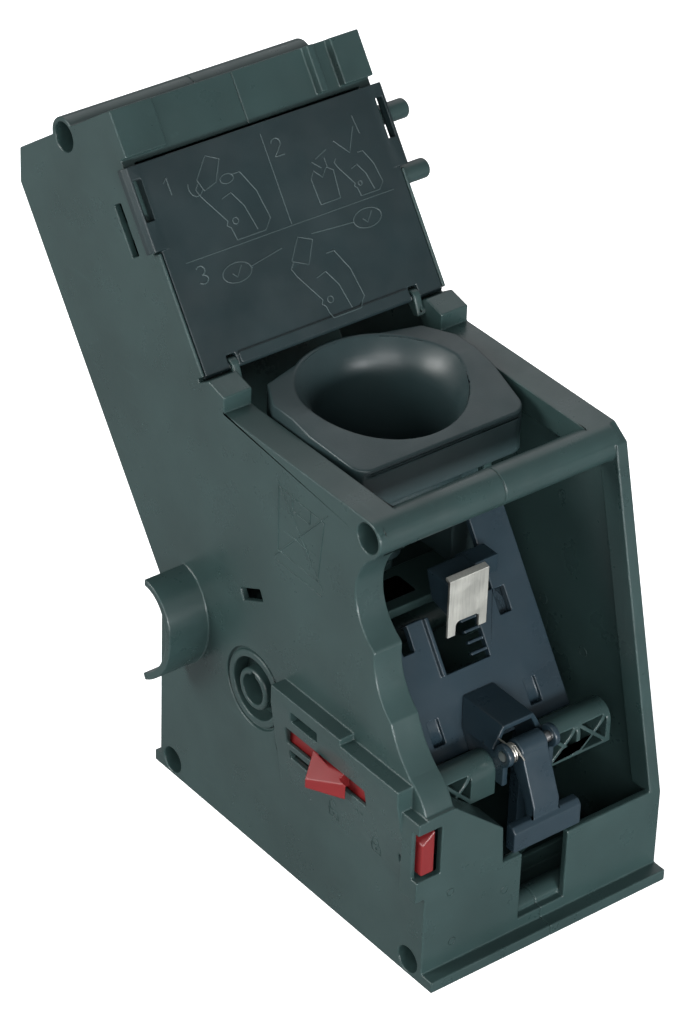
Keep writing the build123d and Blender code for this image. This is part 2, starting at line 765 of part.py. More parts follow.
with BuildPart() as lower_piston:
    with BuildSketch(side_plane(0)):
        with BuildLine():
            Polyline(
                (chamber_y, rod_foot_z), (chamber_y + rod_radius, rod_foot_z),
                (chamber_y + rod_radius, piston_z), (chamber_y + piston_radius, piston_z),
                (chamber_y + piston_radius, piston_z + 1.0), (chamber_y + groove_radius, piston_z + 1.0),
                (chamber_y + groove_radius, piston_z + 3.0), (chamber_y + piston_radius, piston_z + 3.0),
                (chamber_y + piston_radius, piston_z + piston_height),
                (chamber_y, piston_z + piston_height), close=True,
            )
        make_face()
    revolve(axis=Axis((0, chamber_y, 0), (0, 0, 1)))
    with BuildSketch(Plane.XY.offset(piston_z + piston_height)):
        with Locations((0, chamber_y)):
            Circle(1.25)
    extrude(amount=-8.0, mode=Mode.SUBTRACT)
    with BuildSketch(Plane.XY.offset(rod_foot_z)):
        with Locations((0, chamber_y)):
            Circle(rod_radius - 2.0)
    extrude(amount=12.0, mode=Mode.SUBTRACT)
save(lower_piston.part, "lower_piston")

with BuildPart() as lower_seal:
    with BuildSketch(Plane.XY.offset(piston_z + 1.05)):
        with Locations((0, chamber_y)):
            Circle(bore_radius - running_gap)
            Circle(groove_radius, mode=Mode.SUBTRACT)
    extrude(amount=1.9)
    fillet(lower_seal.edges().filter_by(GeomType.CIRCLE).group_by(SortBy.RADIUS)[-1], 0.6)
save(lower_seal.part, "lower_seal")


def sieve(plane, radius, hole, rings):
    """Thin sieve disc with rings of small holes about its screw hole."""
    with BuildPart() as disc:
        with BuildSketch(plane):
            Circle(radius)
            Circle(hole, mode=Mode.SUBTRACT)
            for ring in range(1, rings + 1):
                ring_radius = ring * (radius - 1.5) / rings
                with PolarLocations(ring_radius, 8 * ring):
                    Circle(0.4, mode=Mode.SUBTRACT)
        extrude(amount=sieve_thickness)
    return disc.part


lower_sieve_plane = Plane(origin=(0, chamber_y, piston_z + piston_height))
save(sieve(lower_sieve_plane, sieve_radius, 1.4, 4), "lower_sieve")


def sieve_screw(plane):
    """Flat-headed screw that holds a sieve."""
    with BuildPart() as screw:
        with BuildSketch(plane.offset(sieve_thickness)):
            Circle(2.6)
        extrude(amount=1.2)
        with BuildSketch(plane.offset(sieve_thickness)):
            Circle(1.2)
        extrude(amount=-7.0)
        with BuildSketch(plane.offset(sieve_thickness + 1.2)):
            Rectangle(4.0, 0.7)
        extrude(amount=-0.6, mode=Mode.SUBTRACT)
    return screw.part


save(sieve_screw(lower_sieve_plane), "lower_sieve_screw")

# ---------------------------------------------------------------- upper piston, on the leaning axis
upper_face_r = mouth_r + chamber_lift - 12.0
carrier_r = mouth_r + chamber_lift + 3.0
carrier_thickness = 5.0
stem_radius = 7.0
upper_face_plane = press_plane.offset(upper_face_r)

with BuildPart() as upper_piston:
    with BuildSketch(upper_face_plane):
        Circle(piston_radius)
    extrude(amount=1.6)
    with BuildSketch(upper_face_plane.offset(1.6)):
        Circle(groove_radius)
    extrude(amount=2.0)
    with BuildSketch(upper_face_plane.offset(3.6)):
        Circle(piston_radius)
    extrude(amount=3.4)
    with BuildSketch(upper_face_plane.offset(7.0)):
        Circle(stem_radius)
    extrude(amount=carrier_r + carrier_thickness + 9.0 - upper_face_r - 7.0)
    with BuildSketch(upper_face_plane):
        Circle(1.25)
    extrude(amount=8.0, mode=Mode.SUBTRACT)
save(upper_piston.part, "upper_piston")

with BuildPart() as upper_seal:
    with BuildSketch(upper_face_plane.offset(1.65)):
        Circle(bore_radius - running_gap)
        Circle(groove_radius, mode=Mode.SUBTRACT)
    extrude(amount=1.9)
save(upper_seal.part, "upper_seal")

upper_sieve_plane = Plane(
    origin=upper_face_plane.origin, x_dir=(1, 0, 0), z_dir=-upper_face_plane.z_dir
)
save(sieve(upper_sieve_plane, sieve_radius, 1.4, 4), "upper_sieve")
save(sieve_screw(upper_sieve_plane), "upper_sieve_screw")

with BuildPart() as upper_carrier:
    with BuildSketch(press_plane.offset(carrier_r)):
        Rectangle(2 * inner_x - 0.02, 34.0)
        Circle(stem_radius, mode=Mode.SUBTRACT)
    extrude(amount=carrier_thickness)
    with BuildSketch(press_plane.offset(carrier_r + carrier_thickness)):
        Circle(stem_radius + 2.4)
        Circle(stem_radius, mode=Mode.SUBTRACT)
    extrude(amount=6.0)
save(upper_carrier.part, "upper_carrier")

# ---------------------------------------------------------------- water and coffee nozzles
nozzle_reach = 11.0
nozzle_collar = 0.6
nozzle_collar_radius = 3.5
nozzle_bore = 1.6
nozzle_tail = 6.5
nozzle_round = 1.1

for name, (y, z) in zip(("water_nozzle", "coffee_nozzle"), nozzle_seats):
    with BuildPart() as nozzle:
        with BuildSketch(side_plane(half_width + nozzle_collar)):
            with Locations((y, z)):
                Circle(nozzle_radius)
        extrude(amount=nozzle_reach - nozzle_collar)
        fillet(nozzle.faces().sort_by(Axis.X)[-1].edges(), nozzle_round)
        with BuildSketch(side_plane(half_width)):
            with Locations((y, z)):
                Circle(nozzle_collar_radius)
        extrude(amount=nozzle_collar)
        with BuildSketch(side_plane(inner_x - nozzle_tail)):
            with Locations((y, z)):
                Circle(nozzle_seat_radius - running_gap)
        extrude(amount=nozzle_tail + wall)
        with BuildSketch(side_plane(inner_x - nozzle_tail)):
            with Locations((y, z)):
                Circle(nozzle_bore)
        extrude(amount=nozzle_tail + wall + nozzle_reach, mode=Mode.SUBTRACT)
    save(nozzle.part, name)

# ---------------------------------------------------------------- drive hub, shaft and cradle
hub_out = half_width + 0.5
disc_out = 37.6
disc_width = 2.8
key_width = 1.8

with BuildPart() as drive_hub:
    with BuildSketch(side_plane(-hub_out)):
        with Locations((0, drive_z)):
            Circle(hub_radius)
    extrude(amount=hub_out - arm_inner - arm_width)
    with BuildSketch(side_plane(-disc_out)):
        with Locations((0, drive_z)):
            Circle(drive_opening - running_gap)
    extrude(amount=disc_width)
    chamfer(drive_hub.faces().sort_by(Axis.X)[0].edges(), 0.5)
    with BuildSketch(side_plane(-hub_out)):
        with Locations((0, drive_z)):
            Circle(hub_bore)
        with Locations((0, drive_z + hub_bore)):
            Rectangle(key_width, 1.6)
    extrude(amount=9.0, mode=Mode.SUBTRACT)
save(drive_hub.part, "drive_hub")

shaft_start = -arm_inner - arm_width
with BuildPart() as drive_shaft:
    with BuildSketch(side_plane(shaft_start)):
        with Locations((0, drive_z)):
            Circle(shaft_radius)
    extrude(amount=inner_x - 0.3 - shaft_start)
save(drive_shaft.part, "drive_shaft")

arm_top_r = 71.0
arm_half = 8.5
eye_radius = 10.0
bridge_low = drive_z + 12.5
bridge_thickness = 3.0

for name, side in (("cradle_left_arm", -1), ("cradle_right_arm", 1)):
    with BuildPart() as arm:
        with BuildSketch(side_plane(side * (arm_inner + arm_width / 2) - arm_width / 2)):
            with Locations((0, drive_z)):
                Circle(eye_radius)
            with Locations((chamber_y, drive_z + arm_top_r / 2)):
                Rectangle(2 * arm_half, arm_top_r)
            with Locations((0, drive_z)):
                Circle(shaft_radius, mode=Mode.SUBTRACT)
            with Locations((chamber_y, drive_z + (21.0 + arm_top_r + 2) / 2)):
                Rectangle(2 * arm_slot, arm_top_r + 2 - 21.0, mode=Mode.SUBTRACT)
        extrude(amount=arm_width)
    save(arm.part, name)

with BuildPart() as cradle_bridge:
    with Locations((0, chamber_y, bridge_low + bridge_thickness / 2)):
        Box(2 * arm_inner, 2 * arm_half, bridge_thickness)
    with Locations((0, chamber_y, bridge_low + bridge_thickness / 2)):
        Box(20.0, 8.0, bridge_thickness, mode=Mode.SUBTRACT)
save(cradle_bridge.part, "cradle_bridge")

# ---------------------------------------------------------------- puck chute, clip and hood
chute_deg = 34.0
chute_sin = sin(radians(chute_deg))
chute_cos = cos(radians(chute_deg))
chute_y = -34.9
chute_z = 80.0
chute_low = -34.6
chute_step = 4.2  # top edge of its left part
chute_high = 28.0
chute_half = 27.5
chute_thickness = 2.2
chute_arm_x = bore_radius - 5.0  # inner edge of its tall right part
window_left = -8.1
window_right = 7.4
window_low = -12.9
slot_length = 7.4
slot_width = 4.0
chute_slots = [(-17.5, 0.2), (16.9, 0.2), (-17.4, -26.6), (17.1, -26.6)]
post_inner = 14.0
post_outer = 20.0
post_front_y = -50.0
post_back_y = -46.0
clip_y = -39.2
clip_half = 6.85
clip_foot_z = 79.8
clip_top_z = 98.6
clip_sheet = 0.9
clip_notch_half = 4.1
clip_notch = 4.4
chute_plane = Plane(
    origin=(0, chute_y, chute_z), x_dir=(1, 0, 0), z_dir=(0, -chute_cos, chute_sin)
)


def chute_back_z(y):
    """Height of the middle of the chute's plate at a given y."""
    along = (y - chute_y - chute_thickness / 2 * chute_cos) / chute_sin
    return chute_z + along * chute_cos - chute_thickness / 2 * chute_sin


with BuildPart() as puck_chute:
    with BuildSketch(chute_plane.offset(-chute_thickness)):
        with BuildLine():
            Polyline(
                (-chute_half, chute_low), (chute_half, chute_low), (chute_half, chute_high),
                (chute_arm_x, chute_high), (chute_arm_x, chute_step), (window_right, chute_step),
                (window_right, window_low), (window_left, window_low), (window_left - 1.8, chute_step),
                (-chute_half, chute_step), close=True,
            )
        make_face()
        with Locations(*chute_slots):
            Rectangle(slot_width, slot_length, mode=Mode.SUBTRACT)
    extrude(amount=chute_thickness)
    # turned edges behind the plate
    for side, high in ((-1, chute_step), (1, chute_high)):
        with BuildSketch(chute_plane.offset(-chute_thickness)):
            with Locations((side * (chute_half - 1.0), (chute_low + high) / 2)):
                Rectangle(2.0, high - chute_low)
        extrude(amount=-6.0)
    # posts that stand on the base tray
    for side in (-1, 1):
        with BuildSketch(side_plane(side * (post_inner + post_outer) / 2 - (post_outer - post_inner) / 2)):
            with BuildLine():
                Polyline(
                    (post_front_y, tray_thickness), (post_front_y, chute_back_z(post_front_y)),
                    (post_back_y, chute_back_z(post_back_y)), (post_back_y, tray_thickness), close=True,
                )
            make_face()
        extrude(amount=post_outer - post_inner)
    # rib beside the window
    with BuildSketch(chute_plane):
        with Locations((window_left - 1.4, (window_low + chute_step) / 2)):
            Rectangle(1.2, chute_step - window_low)
    extrude(amount=1.4)
    # post of the clip, on an arm from the tall right part
    with BuildSketch(side_plane(-clip_half + 0.7)):
        with BuildLine():
            Polyline((clip_y, 86.0), (clip_y, 95.6), (-36.6, 96.6), (-29.0, 96.6), (-31.6, 88.0), close=True)
        make_face()
    extrude(amount=2 * clip_half - 1.4)
    with BuildSketch(side_plane(clip_half - 1.5)):
        with BuildLine():
            Polyline((-33.6, 90.0), (-33.6, 95.6), (-27.0, 95.6), (-27.0, 90.0), close=True)
        make_face()
    extrude(amount=chute_arm_x + 2.0 - clip_half)
    # ribs across the window
    for rib in range(4):
        with BuildSketch(chute_plane.offset(-chute_thickness)):
            with Locations((window_right - 2.6, window_low + 2.4 + 3.2 * rib)):
                Rectangle(5.2, 0.9)
        extrude(amount=chute_thickness - 0.6)
save(puck_chute.part, "puck_chute")

with BuildPart() as spring_clip:
    with BuildSketch(side_plane(-clip_half)):
        with BuildLine():
            Polyline(
                (clip_y, clip_foot_z), (clip_y, clip_top_z - 0.8), (clip_y + 1.3, clip_top_z - 0.4),
                (clip_y + 1.2, clip_top_z + 0.5), (clip_y - clip_sheet, clip_top_z),
                (clip_y - clip_sheet, clip_foot_z), close=True,
            )
        make_face()
    extrude(amount=2 * clip_half)
    with BuildSketch(Plane.XZ.offset(-clip_y + 5)):
        with Locations((0, clip_foot_z)):
            Rectangle(2 * clip_notch_half, 2 * clip_notch)
    extrude(amount=-10.0, mode=Mode.SUBTRACT)
    notch_edges = spring_clip.edges().filter_by(Axis.Y).filter_by_position(
        Axis.Z, clip_foot_z + clip_notch - 0.1, clip_foot_z + clip_notch + 0.1
    )
    fillet(notch_edges, 1.4)
save(spring_clip.part, "spring_clip")

hood_half = 9.1
hood_top_z = 61.1
hood_back_y = -47.3
hood_front_y = -63.7
hood_wall = 1.8
lever_y = -68.0
lever_z = 57.6
pin_radius = 1.5
cheek_inner = 7.3

with BuildPart() as hood:
    with BuildSketch(Plane.XZ.offset(-hood_back_y - 4.0)):
        with BuildLine():
            Polyline((-hood_half, 45.0), (-hood_half, 57.0), (-5.4, hood_top_z + 2.5),
                     (5.4, hood_top_z + 2.5), (hood_half, 57.0), (hood_half, 45.0), close=True)
        make_face()
    extrude(amount=hood_back_y + 4.0 - hood_front_y)
    with BuildSketch(Plane.XZ.offset(-hood_back_y - 2.0)):
        with BuildLine():
            Polyline((-hood_half + hood_wall, 44.0), (-hood_half + hood_wall, 56.2),
                     (-4.8, hood_top_z + 0.9), (4.8, hood_top_z + 0.9), (hood_half - hood_wall, 56.2),
                     (hood_half - hood_wall, 44.0), close=True)
        make_face()
    extrude(amount=hood_back_y + 2.0 - hood_front_y + 1.0, mode=Mode.SUBTRACT)
    # keep it in front of the chute
    with BuildSketch(side_plane(-20)):
        with BuildLine():
            chute_foot = (chute_y + chute_low * chute_sin, chute_z + chute_low * chute_cos)
            Polyline((chute_y - 20 * chute_sin, chute_z - 20 * chute_cos),
                     (chute_y, chute_z), (-20, chute_z), (-20, 40), (chute_foot[0] - 8 * chute_sin, 40),
                     (chute_foot[0] - 8 * chute_sin, chute_foot[1] - 8 * chute_cos), close=True)
        make_face()
    extrude(amount=40, mode=Mode.SUBTRACT)
    # cheeks for the lever's pin
    for side in (-1, 1):
        with BuildSketch(side_plane(side * (cheek_inner + hood_half) / 2 - (hood_half - cheek_inner) / 2)):
            with Locations((lever_y, lever_z)):
                Circle(3.4)
            with Locations(((lever_y + hood_front_y) / 2 + 1.5, 52.6)):
                Rectangle(9.0, 9.6)
            with Locations((lever_y, lever_z)):
                Circle(pin_radius, mode=Mode.SUBTRACT)
        extrude(amount=hood_half - cheek_inner)
save(hood.part, "hood")

# ---------------------------------------------------------------- cross beam with braced bays
beam_y = -61.0
beam_z = 50.6
beam_left = -28.0
beam_right = 32.5
beam_radius = 5.0

beam_bays = {
    "left_beam": (beam_left, -hood_half, [(beam_left + 1.6, -hood_half - 8.6)]),
    "right_beam": (hood_half, beam_right, [(hood_half + 1.8, 20.0), (21.4, beam_right - 1.6)]),
}
bay_height = 8.6
bay_rib = 1.1

for name, (start, end, bays) in beam_bays.items():
    with BuildPart() as beam:
        with BuildSketch(side_plane(start)):
            with Locations((beam_y, beam_z)):
                Circle(beam_radius)
            with Locations((beam_y, beam_z - 3.4)):
                Rectangle(2 * beam_radius, 6.8)
        extrude(amount=end - start)
        # bays open to the front, with crossed ribs left standing
        for bay_start, bay_end in bays:
            middle = (bay_start + bay_end) / 2
            reach = (bay_end - bay_start) / 2
            low = beam_z - 1.6 - bay_height / 2
            high = low + bay_height
            with BuildSketch(Plane.XZ.offset(-beam_y + beam_radius)):
                with Locations((middle, (low + high) / 2)):
                    Rectangle(2 * reach, bay_height)
                for first, last in ((low, high), (high, low)):
                    with BuildLine():
                        Line((middle - reach, first), (middle + reach, last))
                    trace(line_width=bay_rib, mode=Mode.SUBTRACT)
            extrude(amount=-7.5, mode=Mode.SUBTRACT)
    save(beam.part, name)

# ---------------------------------------------------------------- sprung lever under the hood
lever_half = 4.6
foot_half = 11.9
foot_low = 32.0
foot_high = 40.0
foot_front_y = -78.6
wire_radius = 0.3
coil_radius = 2.6

with BuildPart() as lever_pin:
    with BuildSketch(side_plane(-hood_half)):
        with Locations((lever_y, lever_z)):
            Circle(pin_radius)
    extrude(amount=2 * hood_half)
save(lever_pin.part, "lever_pin")

with BuildPart() as drain_lever:
    with BuildSketch(side_plane(-lever_half)):
        with BuildLine():
            Polyline(
                (lever_y - 2.4, lever_z + 2.2), (lever_y + 1.6, lever_z + 2.6),
                (lever_y + 3.0, lever_z - 1.0),
                (-73.4, 43.0), (-74.6, 33.4), (-77.4, 33.4), (-77.4, 43.6), close=True,
            )
        make_face()
        with Locations((lever_y, lever_z)):
            Circle(3.4)
    extrude(amount=2 * lever_half)
    with BuildSketch(side_plane(-foot_half)):
        with BuildLine():
            Polyline(
                (foot_front_y, foot_low), (foot_front_y, foot_high - 1.4), (foot_front_y + 1.4, foot_high),
                (-74.8, foot_high), (-74.8, foot_low), close=True,
            )
        make_face()
    extrude(amount=2 * foot_half)
    with BuildSketch(side_plane(-lever_half)):
        with Locations((lever_y, lever_z)):
            Circle(pin_radius + running_gap)
    extrude(amount=2 * lever_half, mode=Mode.SUBTRACT)
save(drain_lever.part, "drain_lever")

coil_start = -6.75
coil_pitch = 0.75
coil_turns = 2.1
spring_leg = 4.0
with BuildPart() as lever_spring:
    with BuildLine():
        coil = Helix(coil_pitch, coil_pitch * coil_turns, coil_radius,
                     center=(coil_start, lever_y, lever_z), direction=(1, 0, 0))
    with BuildSketch(Plane(origin=coil @ 0, z_dir=coil % 0)):
        Circle(wire_radius)
    sweep(path=coil, is_frenet=True)
    for end, along in ((coil @ 0, -(coil % 0)), (coil @ 1, coil % 1)):
        with BuildSketch(Plane(origin=end, z_dir=along)):
            Circle(wire_radius)
        extrude(amount=spring_leg)
save(lever_spring.part, "lever_spring")

# ---------------------------------------------------------------- lock slider
slider_outer = half_width + 0.1
slider_inner = half_width - 2.5
slider_travel = 7.0
bar_low = 43.5
bar_high = 56.5
bar_back_y = cavity_back_y - 0.4
bar_front_y = cavity_front_y + slider_travel + 0.5
nose_back_y = -58.0
nose_low = 38.0
nose_high = 52.0
nose_inner = half_width - 3.2
nose_front_y = front_y + 0.8
stem_back_y = -34.6  # stem that carries the knob through the slot
stem_front_y = -45.4
knob_foot = half_width + 4.7
knob_low = 47.3
knob_peak = (-knob_foot, -33.5, 55.9)  # corners of the knob's sloping face
knob_thumb = (-knob_foot - 5.8, -37.3, 50.3)
knob_end = (-knob_foot, -48.2, 52.4)

with BuildPart() as lock_slider:
    bar_y = (bar_back_y + bar_front_y) / 2
    with Locations((-(slider_outer + slider_inner) / 2, bar_y, (bar_low + bar_high) / 2)):
        Box(slider_outer - slider_inner, bar_back_y - bar_front_y, bar_high - bar_low)
    # rib that runs in the groove behind the slot
    rib_end_y = rib_front_y + slider_travel + 0.5
    with Locations((-(rib_outer - free_gap + slider_inner) / 2, (bar_back_y - 2.5 + rib_end_y) / 2,
                    (rib_low + rib_high) / 2)):
        Box(rib_outer - free_gap - slider_inner, bar_back_y - 2.5 - rib_end_y,
            rib_high - rib_low - 2 * free_gap)
    # pawl that reaches into the drive bearing
    with Locations((-(pawl_inner + free_gap + half_width - 0.3) / 2, bar_back_y + 1.0,
                    (pawl_low + pawl_high) / 2)):
        Box(half_width - 0.3 - pawl_inner - free_gap, 4.2, pawl_high - pawl_low - 2 * free_gap)
    # nose in the front pocket
    with Locations((-(slider_outer - 0.2 + nose_inner) / 2, (nose_back_y + nose_front_y) / 2,
                    (nose_low + nose_high) / 2)):
        Box(slider_outer - 0.2 - nose_inner, nose_back_y - nose_front_y, nose_high - nose_low)
    with Locations((-(nose_inner + half_width + 1.2) / 2, nose_front_y + 3.6, (nose_low + nose_high) / 2)):
        Box(half_width + 1.2 - nose_inner, 7.2, nose_high - nose_low)
    # stem, and a knob whose sloping face drops from its peak to the thumb edge
    with Locations((-(slider_inner + knob_foot + 0.5) / 2, (stem_back_y + stem_front_y) / 2,
                    (slot_low + slot_high) / 2)):
        Box(knob_foot + 0.5 - slider_inner, stem_back_y - stem_front_y, slot_high - slot_low - 2 * free_gap)
    with BuildSketch(Plane.XY.offset(knob_low)):
        with BuildLine():
            Polyline(knob_peak[:2], knob_thumb[:2], knob_end[:2], close=True)
        make_face()
    extrude(amount=20)
    slope = Plane(
        origin=knob_peak,
        x_dir=(Vector(*knob_end) - Vector(*knob_peak)).normalized(),
        z_dir=(Vector(*knob_thumb) - Vector(*knob_peak)).cross(Vector(*knob_end) - Vector(*knob_peak)),
    )
    split(bisect_by=slope, keep=Keep.BOTTOM)
save(lock_slider.part, "lock_slider")
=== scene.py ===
from math import cos, radians, sin

import bmesh
import bpy
from mathutils import Matrix, Vector
from mathutils.bvhtree import BVHTree


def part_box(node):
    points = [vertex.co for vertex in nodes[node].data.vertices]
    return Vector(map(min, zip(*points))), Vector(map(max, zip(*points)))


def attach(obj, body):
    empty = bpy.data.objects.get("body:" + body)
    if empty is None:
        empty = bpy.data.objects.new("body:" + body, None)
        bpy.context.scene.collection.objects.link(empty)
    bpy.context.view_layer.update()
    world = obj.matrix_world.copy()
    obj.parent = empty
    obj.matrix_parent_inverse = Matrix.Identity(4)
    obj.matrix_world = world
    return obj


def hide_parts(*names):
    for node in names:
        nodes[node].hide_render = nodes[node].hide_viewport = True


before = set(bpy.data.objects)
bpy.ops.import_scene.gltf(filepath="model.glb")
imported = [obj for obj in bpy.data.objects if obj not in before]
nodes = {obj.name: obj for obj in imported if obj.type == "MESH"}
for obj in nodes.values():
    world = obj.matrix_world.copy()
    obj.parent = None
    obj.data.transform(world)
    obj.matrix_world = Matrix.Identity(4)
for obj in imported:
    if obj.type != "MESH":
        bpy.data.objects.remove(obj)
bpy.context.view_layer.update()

# Looks of a removable brewing unit. Lengths are in millimetres until they are multiplied by MM, apart from
# the camera, the lights and the floor, which are placed in metres.
MM = 0.001
scene = bpy.context.scene
LEAN = radians(35.4)  # lean of the cover from the vertical

# How the moulded pieces' meshes are cleaned and rounded.
MERGE_GAP = 0.002  # corners nearer than this are one
FLAT_ANGLE = radians(0.5)  # faces that meet at less are one flat face
BROAD_FACE = 60  # a face with more corners than this is kept in triangles
EDGE_ANGLE = radians(34)  # an edge sharper than this is rounded
ROUND_STEPS = 2
FACE_WEIGHT = 60  # how far broad faces lead the shading

# How strokes are laid on a surface.
BOARD_HEIGHT = 20  # drawing board over the face
BOARD_REACH = 60  # how deep under the board a surface is looked for
STEP = 1.5  # longest run between two points of a stroke, so that it keeps to the surface
RIDGE_SIDES = 8


def middle(node):
    low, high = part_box(node)
    return (low + high) / 2


def linked(name, data):
    piece = bpy.data.objects.new(name, data)
    scene.collection.objects.link(piece)
    return piece


# ---------------------------------------------------------------- camera and studio
CAMERA_PLACE = Vector((-0.6013, -0.7311, 0.7340))
CAMERA_HEADING = radians(38.82)
CAMERA_PITCH = radians(33.96)
CAMERA_ROLL = radians(2.04)
CAMERA_LENS = 143.95
CAMERA_FILM = 36.0


# Soft panels round the unit: name, place and size in metres, power in watts, colour.
UNIT_HEART = (0, 0, 0.09)
LIGHTS = [
    ("left_light", (-1.5, 0.55, 0.75), (0.9, 0.7), 31, (1.0, 1.0, 0.98)),
    ("front_light", (-0.15, -1.65, 0.16), (0.8, 0.4), 40, (0.98, 0.99, 1.0)),
    ("fill_light", (-0.92, -1.15, 0.73), (0.8, 0.8), 14, (1.0, 1.0, 1.0)),
    ("top_light", (0.65, 0.85, 1.05), (1.4, 1.1), 4.5, (0.96, 0.98, 1.0)),
]
SURROUND_LOW = 0.22
SURROUND_HIGH = 0.28
FLOOR_GLOW = 0.85  # keeps the floor white in the view without lighting the unit


def viewing_camera():
    """Camera on a long lens, above the left front corner of the unit."""
    data = bpy.data.cameras.new("viewing_camera")
    data.sensor_fit = "VERTICAL"
    data.sensor_height = CAMERA_FILM
    data.lens = CAMERA_LENS
    data.clip_start = 0.05
    camera = linked("viewing_camera", data)
    ahead = Vector((sin(CAMERA_HEADING) * cos(CAMERA_PITCH), cos(CAMERA_HEADING) * cos(CAMERA_PITCH),
                    -sin(CAMERA_PITCH)))
    level = Vector((cos(CAMERA_HEADING), -sin(CAMERA_HEADING), 0))
    above = level.cross(ahead)
    right = cos(CAMERA_ROLL) * level + sin(CAMERA_ROLL) * above
    up = -sin(CAMERA_ROLL) * level + cos(CAMERA_ROLL) * above
    turn = Matrix((right, up, -ahead)).transposed().to_4x4()
    camera.matrix_world = Matrix.Translation(CAMERA_PLACE) @ turn
    scene.camera = camera


def soft_light(name, place, aim, size, power, colour):
    data = bpy.data.lights.new(name, "AREA")
    data.shape = "RECTANGLE"
    data.size, data.size_y = size
    data.energy = power
    data.color = colour
    light = linked(name, data)
    light.location = place
    light.rotation_euler = (Vector(aim) - Vector(place)).to_track_quat("-Z", "Y").to_euler()


def pale_surround():
    """World whose strength grows with the height of the view over the horizon."""
    world = bpy.data.worlds.new("pale_surround")
    scene.world = world
    world.use_nodes = True
    tree = world.node_tree
    backdrop = tree.nodes["Background"]
    sight = tree.nodes.new("ShaderNodeTexCoord")
    height = tree.nodes.new("ShaderNodeSeparateXYZ")
    fade = tree.nodes.new("ShaderNodeMapRange")
    fade.inputs["From Max"].default_value = 0.9
    fade.inputs["To Min"].default_value = SURROUND_LOW
    fade.inputs["To Max"].default_value = SURROUND_HIGH
    tree.links.new(sight.outputs["Generated"], height.inputs[0])
    tree.links.new(height.outputs["Z"], fade.inputs["Value"])
    tree.links.new(fade.outputs["Result"], backdrop.inputs["Strength"])
    backdrop.inputs["Color"].default_value = (0.93, 0.96, 1.0, 1)


def studio():
    """Pale floor under soft lights, in a dim surround that is brighter overhead."""
    scene.view_settings.view_transform = "Standard"
    pale_surround()
    for name, place, size, power, colour in LIGHTS:
        soft_light(name, place, UNIT_HEART, size, power, colour)
    floor_half = 3.0
    mesh = bpy.data.meshes.new("studio_floor")
    corners = [(-floor_half, -floor_half, 0), (floor_half, -floor_half, 0),
               (floor_half, floor_half, 0), (-floor_half, floor_half, 0)]
    mesh.from_pydata(corners, [], [(0, 1, 2, 3)])
    floor = linked("studio_floor", mesh)
    mesh.materials.append(floor_paper())


# ---------------------------------------------------------------- finishes
class Finish:
    """A material under construction, with short calls for its nodes."""

    def __init__(self, name):
        self.material = bpy.data.materials.new(name)
        self.material.use_nodes = True
        self.tree = self.material.node_tree
        self.shader = self.tree.nodes["Principled BSDF"]
        self.place = self.node("ShaderNodeTexCoord").outputs["Object"]

    def node(self, kind, **values):
        made = self.tree.nodes.new(kind)
        for name, value in values.items():
            setattr(made, name, value)
        return made

    def join(self, source, target):
        self.tree.links.new(source, target)

    def noise(self, feature, detail=3.0, roughness=0.55, stretch=(1, 1, 1)):
        """Noise whose features are about so many millimetres across."""
        place = self.place
        if stretch != (1, 1, 1):
            mapping = self.node("ShaderNodeMapping")
            mapping.inputs["Scale"].default_value = stretch
            self.join(self.place, mapping.inputs["Vector"])
            place = mapping.outputs["Vector"]
        texture = self.node("ShaderNodeTexNoise")
        texture.inputs["Scale"].default_value = 1 / (feature * MM)
        texture.inputs["Detail"].default_value = detail
        texture.inputs["Roughness"].default_value = roughness
        self.join(place, texture.inputs["Vector"])
        return texture.outputs["Fac"]

    def spread(self, source, low, high, to_low, to_high):
        """Part of a source's range, spread over another range."""
        spread = self.node("ShaderNodeMapRange")
        for name, value in (("From Min", low), ("From Max", high), ("To Min", to_low), ("To Max", to_high)):
            spread.inputs[name].default_value = value
        self.join(source, spread.inputs["Value"])
        return spread.outputs["Result"]

    def blend(self, share, first, second):
        """Two colours, or two outputs, mixed by a share."""
        mix = self.node("ShaderNodeMix", data_type="RGBA")
        self.join(share, mix.inputs["Factor"])
        for side, value in ((6, first), (7, second)):
            if isinstance(value, tuple):
                mix.inputs[side].default_value = (*value, 1)
            else:
                self.join(value, mix.inputs[side])
        return mix.outputs[2]

    def times(self, first, second):
        product = self.node("ShaderNodeMath", operation="MULTIPLY")
        for side, value in ((0, first), (1, second)):
            if isinstance(value, float):
                product.inputs[side].default_value = value
            else:
                self.join(value, product.inputs[side])
        return product.outputs[0]

    def rounded_edge(self, radius):
        """Normal that is softened along the edges, and how near an edge each place is."""
        bevel = self.node("ShaderNodeBevel", samples=4)
        bevel.inputs["Radius"].default_value = radius * MM
        face = self.node("ShaderNodeNewGeometry").outputs["Normal"]
        dot = self.node("ShaderNodeVectorMath", operation="DOT_PRODUCT")
        self.join(bevel.outputs["Normal"], dot.inputs[0])
        self.join(face, dot.inputs[1])
        nearness = self.spread(dot.outputs["Value"], 0.995, 0.80, 0.0, 1.0)
        return bevel.outputs["Normal"], nearness

    def bump(self, height, depth, normal=None):
        bump = self.node("ShaderNodeBump")
        bump.inputs["Distance"].default_value = depth * MM
        self.join(height, bump.inputs["Height"])
        if normal is not None:
            self.join(normal, bump.inputs["Normal"])
        return bump.outputs["Normal"]


def lighter(colour, factor):
    return tuple(channel * factor for channel in colour)


